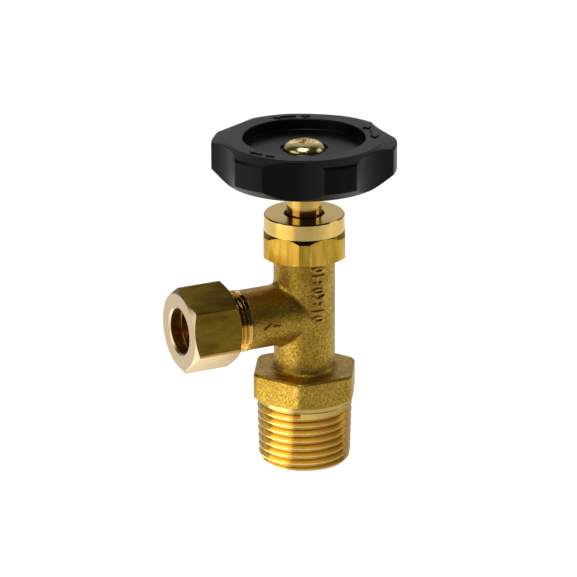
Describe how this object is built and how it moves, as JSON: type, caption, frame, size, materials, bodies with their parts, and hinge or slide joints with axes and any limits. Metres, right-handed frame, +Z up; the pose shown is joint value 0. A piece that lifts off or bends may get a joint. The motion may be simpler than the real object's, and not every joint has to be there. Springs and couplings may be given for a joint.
{
  "type": "needle valve",
  "caption": "Angle needle valve: black scalloped handwheel on a screw spindle, packed gland with hexagon nut, compression outlet to one side and a taper pipe thread inlet below.",
  "frame": {"origin": "on the spindle axis at the end face of the inlet thread", "axes": "+Z up the spindle towards the handwheel, -X out along the outlet branch, -Y towards the side with the raised marks"},
  "size_m": [0.0504, 0.0408, 0.0755],
  "materials": {
    "forged_brass": "satin, forged skin with machined threads",
    "stainless": "turned",
    "turned_brass": "turned, bright",
    "gland_nut_brass": "turned, bright",
    "compression_nut_brass": "drawn bar, dull flats",
    "wheel_plastic": "moulded, satin black",
    "screw_brass": "polished",
    "packing": "white PTFE"
  },
  "bodies": {
    "body": {"valve_body": "forged_brass", "seat_ring": "stainless", "packing_washer": "turned_brass", "packing_ring_lower": "packing", "packing_ring_middle": "packing", "packing_ring_upper": "packing", "packing_header": "turned_brass"},
    "needle": {"needle": "stainless"},
    "spindle": {"spindle": "turned_brass", "thrust_ball": "stainless", "needle_clip": "stainless", "handwheel_insert": "turned_brass", "handwheel": "wheel_plastic", "flat_washer": "stainless", "lock_washer": "stainless", "handwheel_screw": "screw_brass"},
    "gland_follower": {"gland_follower": "turned_brass"},
    "gland_nut": {"gland_nut": "gland_nut_brass"},
    "olive": {"olive": "turned_brass"},
    "compression_nut": {"compression_nut": "compression_nut_brass"}
  },
  "joints": [
    {"name": "needle_lift", "type": "slide", "parent": "body", "child": "needle", "axis": [0, 0, 1], "range_m": [0, 0.004]},
    {"name": "spindle_turn", "type": "hinge", "parent": "needle", "child": "spindle", "pos_m": [0, 0, 0.04], "axis": [0, 0, 1], "range_deg": [0, 1440]},
    {"name": "follower_lift", "type": "slide", "parent": "body", "child": "gland_follower", "axis": [0, 0, 1], "range_m": [0, 0.001]},
    {"name": "gland_nut_turn", "type": "hinge", "parent": "gland_follower", "child": "gland_nut", "pos_m": [0, 0, 0.052], "axis": [0, 0, 1], "range_deg": [0, 360]},
    {"name": "olive_slide", "type": "slide", "parent": "body", "child": "olive", "axis": [-1, 0, 0], "range_m": [0, 0.004]},
    {"name": "compression_nut_turn", "type": "hinge", "parent": "olive", "child": "compression_nut", "pos_m": [-0.025, 0, 0.035], "axis": [-1, 0, 0], "range_deg": [0, 1440]}
  ],
  "couplings": [
    {"joint": "needle_lift", "follows": "spindle_turn", "m_per_rad": 0.00015915},
    {"joint": "follower_lift", "follows": "gland_nut_turn", "m_per_rad": 0.00015915},
    {"joint": "olive_slide", "follows": "compression_nut_turn", "m_per_rad": 0.00015915}
  ]
}
